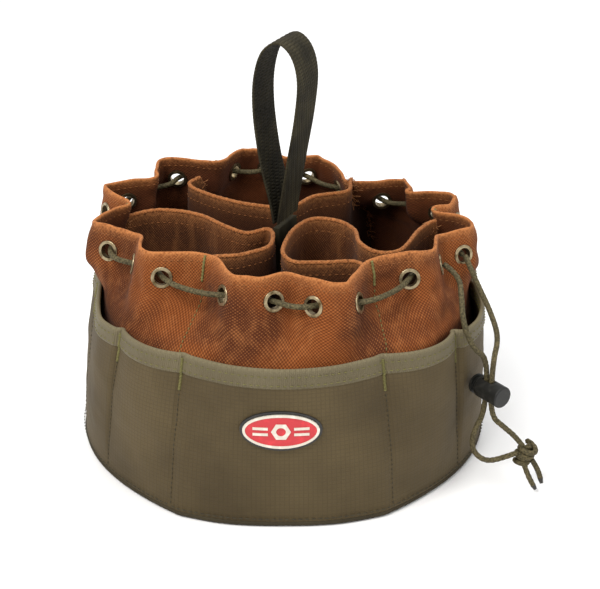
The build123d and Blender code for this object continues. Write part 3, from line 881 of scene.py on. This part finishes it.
def wall_runs():
    """Stitch lines of the rim hem and of the six seams that hold the inner walls."""
    runs = []
    for side in (1, -1):
        line = wall[-5] + side * wall_normal[-5] * CANVAS / 2
        runs.append((ring(line), side * ring(wall_normal[-5])))
    seams, bars = [], []
    for gap in WALL_SEAMS:
        column = (3 * gap + 2) * WALL_PER_SPAN
        split = wall[-1, column, 2] - BAR_DROP
        seams.append(column_run(wall, wall_normal, column, SKIRT_TOP - 6, split, CANVAS / 2))
        bars.append(column_run(wall, wall_normal, column, split, 150, CANVAS / 2 + 0.3)[0])
    return runs, seams, bars


hem_runs, wall_seams, wall_bars = wall_runs()
sew("rim_stitching", "canvas", RUST_THREAD, hem_runs, 2.4, 1.4, 0.3, 0.05)
sew("wall_seam_stitching", "canvas", OLIVE_THREAD, wall_seams, 2.4, 0.8, 0.32)
bar_threads = [tube_mesh("bar", line, 0.75, 8, ripple(0.22, 3)) for line in wall_bars]
new_object("wall_seam_bars", joined("wall_bars", bar_threads), "bag", "canvas", OLIVE_THREAD)


# ------------------------------------------------------------------------- inner walls
def frayed_fibres(name, line, normals, count, reach, seed):
    """Loose yarn ends that stand out of a cloth's cut edge, the same every run."""
    rng = np.random.default_rng(seed)
    fibres = []
    for start in rng.integers(0, len(line), count):
        aim = unit(normals[start] + rng.normal(0, 0.6, 3))
        droop = rng.normal(0, 0.45, 3) - (0, 0, 0.35)
        share = np.linspace(0, 1, 6)[:, None]
        length = reach * rng.uniform(0.35, 1)
        fibre = line[start] + length * (aim * share + droop * share ** 2)
        fibres.append(tube_mesh("fibre", fibre, 0.19, 4))
    return new_object(name, joined(name, fibres), "bag", "canvas", FIBRE)


def wall_reach(angle, height):
    """Inside radius of the bag's wall at an angle and height."""
    rows = wall[:, :, 2]
    cols_angle = np.degrees(np.arctan2(wall[-1, :, 0], -wall[-1, :, 1]))
    column = int(np.argmin(np.abs((cols_angle - angle + 180) % 360 - 180)))
    row = int(np.argmin(np.abs(rows[:, column] - height)))
    return np.linalg.norm(wall[row, column, :2]) - CANVAS / 2


def petal_grid(plan, rows=34, cols=260):
    """Middle layer of an inner wall, cut off where it meets the bag's wall."""
    route = curve_weights(len(plan), 24, False) @ np.array(plan, float)
    route = resample(route, 0.8)
    radius = np.linalg.norm(route, axis=1)
    angle = np.degrees(np.arctan2(route[:, 0], -route[:, 1]))
    grid = []
    for height in np.linspace(PETAL_FOOT, PETAL_TOP, rows):
        reach = [wall_reach(angle[end], height) for end in (0, -1)]
        half = len(route) // 2
        first = int(np.argmax(radius[:half] < reach[0]))
        last = len(route) - int(np.argmax(radius[:half - 1:-1] < reach[1]))
        grid.append(np.column_stack([resample(route[first:last], count=cols),
                                     np.full(cols, height)]))
    grid = np.array(grid)
    across = grid_normals(grid, False)
    held = smooth(0, 12, np.minimum(np.arange(cols), cols - 1 - np.arange(cols)))
    swing = (1.6 * crumple(grid, 34, 4.0) + 0.4 * crumple(grid, 11, 6.0)) * held
    grid = grid + across * (swing * smooth(10, 60, grid[..., 2]))[..., None]
    grid[..., 2] += 1.1 * crumple(grid, 30, 9.0) * smooth(PETAL_TOP - 25, PETAL_TOP, grid[..., 2])
    return grid


def petal(name, plan):
    """An inner wall with its hem: a rolled edge, and a row of stitches below it."""
    grid = petal_grid(plan)
    normal = grid_normals(grid, False)
    cloth = new_object(f"{name}_cloth", sheet_mesh(name, grid, 1.8, False, 4.0), "bag",
                       "canvas_inside", CANVAS_IN_SHADED)
    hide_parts(name)
    roll = tube_mesh(f"{name}_roll", grid[-1] - (0, 0, 0.5), 1.3, 10, ripple(0.12, 1.3), 0.75)
    edge = new_object(f"{name}_rolled_edge", roll, "bag", "canvas_inside", CANVAS_OUT)
    runs = []
    for side in (1, -1):
        runs.append((grid[-3] + side * normal[-3] * 0.9, side * normal[-3]))
    hem = sew(f"{name}_hem_stitching", "canvas_inside", RUST_THREAD, runs, 2.4, 1.4, 0.28, 0.05)
    frays = []
    for end, inward, label in ((0, 1, "start"), (-1, -1, "end")):
        heavy = (name, end) == FRAYED_END
        rows = slice(-14 if heavy else -6, None)
        line = np.vstack([grid[rows, end + inward * step] for step in range(1, 6)])
        facing = np.vstack([normal[rows, end + inward * step] for step in range(1, 6)])
        for side in (1, -1):
            frays.append(frayed_fibres(f"{name}_{label}_frays_{'out' if side > 0 else 'in'}",
                                       line + side * facing * 0.8, side * facing,
                                       90 if heavy else 14, 5.0 if heavy else 3.0, 11))
    return cloth, [edge, hem, *frays], grid


petals = {name: petal(name, plan) for name, plan in PETALS.items()}


# -------------------------------------------------------------------------- carry loop
def loop_point(s, z):
    turn = radians(LOOP_TURN)
    return np.array([LOOP_ROOT[0] + s * cos(turn), LOOP_ROOT[1] + s * sin(turn),
                     LOOP_ROOT[2] + z])


def carry_loop():
    line = curve_weights(len(LOOP_POINTS), 40, False) @ np.array(LOOP_POINTS, float)
    line = resample(line, 0.55)
    turn = radians(LOOP_TURN)
    wide = np.array([-sin(turn), cos(turn), 0.0])
    centre = np.array([loop_point(*p) for p in line])
    cols = 44
    share = np.linspace(-1, 1, cols)
    grid = centre[:, None] + share[None, :, None] * wide * WEB_W / 2
    across = grid_normals(grid, False)
    along = np.arange(len(line)) * 0.55
    ribs = np.sin(2 * pi * (along[:, None] + 5.0 * share[None, :]) / 2.2)
    selvedge = smooth(1.0, 0.9, np.abs(share))[None, :]
    grid = grid + across * (0.2 * ribs * selvedge)[..., None]
    mesh = sheet_mesh("webbing", grid, WEB_T - 0.3, False, 0.01)
    return new_object("carry_loop_webbing", mesh, "carry_loop", "webbing", WEBBING)


loop_piece = carry_loop()
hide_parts("carry_loop")


# ------------------------------------------------------------------------------ cords
def braid(turn, along):
    """Relief of a round braid: two sets of strands that cross."""
    lay = 2 * pi * along / 13.0
    return 0.17 * np.maximum(np.cos(4 * (turn + lay)), np.cos(4 * (turn - lay))) - 0.17


def braided_cord(name, line, body, slot="cord"):
    mesh = tube_mesh(name, resample(line, 0.6), CORD_R, 28, braid)
    return new_object(name, mesh, body, slot, CORD)


def lace_points():
    """Cord route from one exit eyelet the long way round to the other."""
    count = len(EYELETS)
    order = [(EXIT_A - step) % count for step in range(count)]
    points = [eyelet_centre(order[0])]
    for step, here in enumerate(order[:-1]):
        a, b = eyelet_centre(here), eyelet_centre(order[step + 1])
        out = np.array([*unit((a + b)[:2]), 0.0])
        stand = -CORD_STANDOFF if step % 2 == 0 else CORD_STANDOFF
        shares = (0.28, 0.72) if np.linalg.norm(a - b) > 32 else (0.5,)
        points += [a + (b - a) * share + out * stand for share in shares]
        points.append(b)
    return points


lacing = braided_cord("drawcord_lacing_braid", nurbs_line(lace_points()), "bag")
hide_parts("drawcord_lacing")


def free_end(start, upper, side, lower):
    """Route of one cord end: out of its eyelet, through the lock, to the knot."""
    at_lock = np.array(LOCK_CENTRE) + np.array(LOCK_AXIS) * CORD_PITCH / 2 * side
    run = [(at_lock[0], at_lock[1], height) for height in LOCK_RUN]
    return [tuple(start)] + upper + run + lower


def exit_point(i):
    return eyelet_centre(i) + eyelet_normal(i) * EXIT_REACH


front_line = nurbs_line(free_end(exit_point(EXIT_A), END_A, -1, END_A_LOWER))
back_line = nurbs_line(free_end(exit_point(EXIT_B), END_B, 1, END_B_LOWER))
front_end = braided_cord("cord_end_front_braid", front_line, "drawcord_ends")
back_end = braided_cord("cord_end_back_braid", back_line, "drawcord_ends")
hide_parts("cord_end_front")
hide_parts("cord_end_back")

for tail_name, route in TAILS.items():
    tail = braided_cord(f"{tail_name}_braid", nurbs_line(route), "drawcord_ends")
    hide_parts(tail_name)


def knot():
    """Overhand knot in the pair of cords: wraps round a leaning axis, drawn up tight."""
    axis = unit(np.array([sin(radians(25)), 0.0, cos(radians(25))]))
    one = unit(np.cross(axis, (0, 1, 0)))
    two = np.cross(axis, one)
    meshes = []
    for strand, phase in ((0, 0.0), (1, 0.9)):
        turns = np.linspace(-0.15, 1.7, 70)
        height = (turns - 0.78) * 5.4 + (2.1 if strand else -2.1)
        radius = 3.9 - 0.8 * np.cos(pi * turns)
        angle = 2 * pi * turns + phase
        line = (np.array(KNOT) + height[:, None] * axis
                + (radius * np.cos(angle))[:, None] * one + (radius * np.sin(angle))[:, None] * two)
        meshes.append(tube_mesh("wrap", resample(line, 0.6), CORD_R, 28, braid))
    core = [np.array(KNOT) + axis * h + one * (0.9 * sin(h / 2)) for h in np.linspace(-6.5, 6.5, 24)]
    meshes.append(tube_mesh("core", np.array(core), CORD_R * 1.15, 28, braid))
    return new_object("drawcord_knot_wraps", joined("knot", meshes), "drawcord_ends", "cord", CORD)


knot_piece = knot()
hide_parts("drawcord_knot")


# --------------------------------------------------------------------------------- base
def base_piping():
    """Binding round the seam of the base, in line with the foot of the skirt."""
    foot = skirt[0] * (1, 1, 0)
    out = unit(foot)
    path = foot - out * 0.9 + (0, 0, 2.15)
    around = np.vstack([path, path[:2]])
    mesh = tube_mesh("piping", resample(around, 1.2), 2.1, 12, ripple(0.08, 1.9))
    piping = new_object("base_seam_piping", mesh, "bag", "base_cloth", PIPING)
    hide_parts("base_seam_binding")
    run = [(ring(foot + out * 1.2 + (0, 0, 5.6)), ring(out))]
    sew("base_stitching", "base_cloth", DARK_THREAD, run, 2.8, 1.0, 0.4)


base_piping()


# -------------------------------------------------------------------------------- badge
def badge_stitching():
    """Stitches that sew the badge down just inside its edge."""
    low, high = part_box("badge_backing")
    centre = (low + high) / 2 / MM
    half_w, half_h = (high.x - low.x) / 2 / MM - 1.4, (high.z - low.z) / 2 / MM - 1.4
    turn = np.linspace(0, 2 * pi, 160)
    x = half_w * np.cos(turn)
    y = -np.sqrt((low.y / MM) ** 2 - x ** 2)
    line = np.column_stack([x, y, centre.z + half_h * np.sin(turn)])
    normals = unit(np.column_stack([x, y, np.zeros_like(x)]))
    sew("badge_stitching", "badge_black", DARK_THREAD, [(line, normals)], 1.5, 0.9, 0.22, 0.05)


badge_stitching()


# ------------------------------------------------------------------- camera and light
def add_camera():
    data = bpy.data.cameras.new("camera")
    data.sensor_width = 36
    data.lens = 96.7
    camera = bpy.data.objects.new("camera", data)
    camera.location = (0.0105, -0.8961, 0.5299)
    camera.rotation_euler = (radians(63.65), 0, 0)
    bpy.context.scene.collection.objects.link(camera)
    bpy.context.scene.camera = camera


# The plain transform shows a colour as its material gives it.
bpy.context.scene.view_settings.view_transform = "Standard"


def add_light(name, location, size, power, colour=(1, 1, 1)):
    data = bpy.data.lights.new(name, "AREA")
    data.size = size
    data.energy = power
    data.color = colour
    light = bpy.data.objects.new(name, data)
    light.location = location
    aim = Vector((0, 0, 0.08)) - Vector(location)
    light.rotation_euler = aim.to_track_quat("-Z", "Y").to_euler()
    bpy.context.scene.collection.objects.link(light)


def add_stage():
    """Pale paper floor under an even white sky."""
    mesh = bpy.data.meshes.new("floor")
    corners = [(x * 6.0, y * 6.0, 0) for x, y in ((-1, -1), (1, -1), (1, 1), (-1, 1))]
    mesh.from_pydata(corners, [], [(0, 1, 2, 3)])
    floor = bpy.data.objects.new("floor", mesh)
    shade = Shade("floor_paper", roughness=0.9)
    paper = shade.noise(4)
    mesh.materials.append(shade.finish(shade.mix(paper, (0.93, 0.93, 0.93, 1), (0.96, 0.96, 0.96, 1))))
    floor.location.z = -0.0003
    bpy.context.scene.collection.objects.link(floor)
    world = bpy.data.worlds.new("studio")
    bpy.context.scene.world = world
    world.use_nodes = True
    background = world.node_tree.nodes["Background"]
    background.inputs["Color"].default_value = (1.0, 1.0, 1.0, 1)
    background.inputs["Strength"].default_value = 0.52


add_camera()
add_light("key", (-0.7, -0.9, 1.5), 0.9, 30, (1.0, 0.98, 0.95))
add_light("fill", (1.2, -0.6, 0.9), 1.2, 8)
add_light("top", (0.1, 0.5, 1.6), 1.0, 12)
add_stage()
